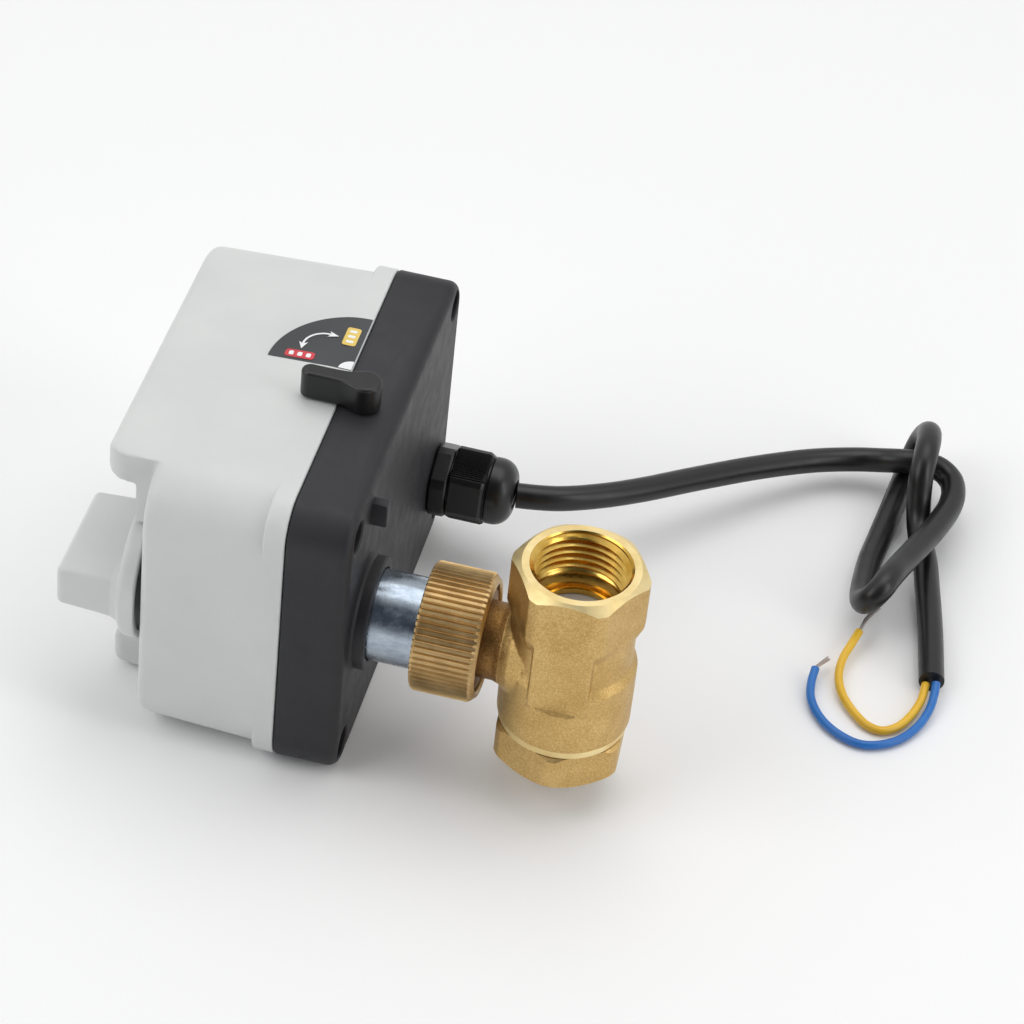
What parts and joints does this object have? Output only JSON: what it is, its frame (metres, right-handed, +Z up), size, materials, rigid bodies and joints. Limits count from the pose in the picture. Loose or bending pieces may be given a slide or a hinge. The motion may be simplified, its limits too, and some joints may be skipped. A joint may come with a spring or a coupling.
{
  "type": "motorized ball valve",
  "caption": "Motorized ball valve: plastic actuator box with a position knob and manual selector, joined by a knurled union nut to a threaded brass valve body, with a short lead",
  "frame": {"origin": "under the middle of the box and valve together, without the lead, on the surface that the box stands on", "axes": "+X along the stem from the box to the valve, +Z up along the pipe axis, +Y from the valve's side of the box to its far side"},
  "size_m": [0.1827, 0.1454, 0.0762],
  "materials": {
    "cover": "satin light grey moulding",
    "base": "matt dark grey moulding",
    "lever": "semi-gloss black",
    "gland": "glossy black nylon",
    "cable": "black PVC sheath",
    "yellow": "yellow PVC insulation",
    "blue": "blue PVC insulation",
    "copper": "tinned copper strands",
    "label": "dark grey printed film",
    "steel": "zinc plated",
    "motor_can": "pressed steel can",
    "brass": "sandblasted forged brass",
    "nut": "machined brass, knurled",
    "ball": "chromed brass ball",
    "ptfe": "white PTFE",
    "seal": "black nitrile",
    "gears": "sintered steel",
    "cams": "natural acetal",
    "board": "green circuit board",
    "terminal": "green terminal block",
    "capacitor": "yellow film capacitor",
    "switch": "black micro switch body",
    "plunger": "red plunger"
  },
  "bodies": {
    "housing": {"base": "base", "cover": "cover", "gasket": "seal", "cover_screw_1": "steel", "cover_screw_2": "steel", "cover_screw_3": "steel", "cover_screw_4": "steel", "label_plate": "label", "gearbox_plate": "steel", "axle_a": "steel", "axle_b": "steel", "motor": "motor_can", "standoff_1": "steel", "standoff_2": "steel", "standoff_3": "steel", "standoff_4": "steel", "circuit_board": "board", "terminal_block": "terminal", "capacitor": "capacitor", "micro_switch_1": "switch", "micro_switch_2": "switch", "inner_lead": "cable", "gland_locknut": "gland", "gland_body": "gland", "gland_seal": "seal", "gland_nut": "gland", "knob_seal": "seal", "selector_seal": "seal", "shaft_bush": "ptfe", "shaft_seal": "seal", "stem_sleeve": "steel", "sleeve_ring": "steel", "valve_body": "brass", "end_adaptor": "brass", "seat_top": "ptfe", "seat_bottom": "ptfe", "cable_jacket": "cable", "wire_yellow": "yellow", "wire_blue": "blue", "strands_yellow": "copper", "strands_blue": "copper"},
    "drive": {"knob": "cover", "output_shaft": "steel", "output_gear": "gears", "cam_1": "cams", "cam_2": "cams"},
    "reduction_b": {"gear_b": "gears"},
    "reduction_a": {"gear_a": "gears"},
    "motor_rotor": {"motor_pinion": "gears"},
    "selector": {"selector_lever": "lever", "selector_shaft": "steel"},
    "clutch": {"clutch_slide": "cams"},
    "open_plunger": {"switch_plunger_1": "plunger"},
    "closed_plunger": {"switch_plunger_2": "plunger"},
    "union": {"union_nut": "nut"},
    "valve_ball": {"ball": "ball", "valve_stem": "brass", "stem_ring_1": "seal", "stem_ring_2": "seal"}
  },
  "joints": [
    {"name": "output_turn", "type": "hinge", "parent": "housing", "child": "drive", "pos_m": [-0.01805, -0.02975, 0.0346], "axis": [1, 0, 0], "range_deg": [0, 90]},
    {"name": "gear_b_turn", "type": "hinge", "parent": "housing", "child": "reduction_b", "pos_m": [-0.00905, -0.01295, 0.0346], "axis": [1, 0, 0], "range_deg": [-180, 0]},
    {"name": "gear_a_turn", "type": "hinge", "parent": "housing", "child": "reduction_a", "pos_m": [-0.00505, 0.00265, 0.0346], "axis": [1, 0, 0], "range_deg": [0, 322]},
    {"name": "motor_turn", "type": "hinge", "parent": "housing", "child": "motor_rotor", "pos_m": [-0.00505, 0.01945, 0.0346], "axis": [1, 0, 0], "range_deg": [-965, 0]},
    {"name": "ball_turn", "type": "hinge", "parent": "housing", "child": "valve_ball", "pos_m": [0.03195, -0.02975, 0.0346], "axis": [1, 0, 0], "range_deg": [0, 90]},
    {"name": "selector_turn", "type": "hinge", "parent": "housing", "child": "selector", "pos_m": [-0.00635, -0.00665, 0.0646], "axis": [0, 0, 1], "range_deg": [-90, 0]},
    {"name": "clutch_travel", "type": "slide", "parent": "housing", "child": "clutch", "axis": [0, 1, 0], "range_m": [0, 0.0048]},
    {"name": "open_plunger_travel", "type": "slide", "parent": "housing", "child": "open_plunger", "axis": [0, 1, 0], "range_m": [0, 0.001], "stiffness_N_per_m": 400},
    {"name": "closed_plunger_travel", "type": "slide", "parent": "housing", "child": "closed_plunger", "axis": [0, 1, 0], "range_m": [0, 0.001], "stiffness_N_per_m": 400},
    {"name": "union_nut_turn", "type": "hinge", "parent": "housing", "child": "union", "pos_m": [0.02195, -0.02975, 0.0346], "axis": [1, 0, 0], "continuous": true}
  ],
  "couplings": [
    {"joint": "gear_b_turn", "follows": "output_turn", "ratio": -2},
    {"joint": "gear_a_turn", "follows": "output_turn", "ratio": 3.5714},
    {"joint": "motor_turn", "follows": "output_turn", "ratio": -10.714},
    {"joint": "ball_turn", "follows": "output_turn", "ratio": 1},
    {"joint": "clutch_travel", "follows": "selector_turn", "m_per_rad": -0.003}
  ]
}
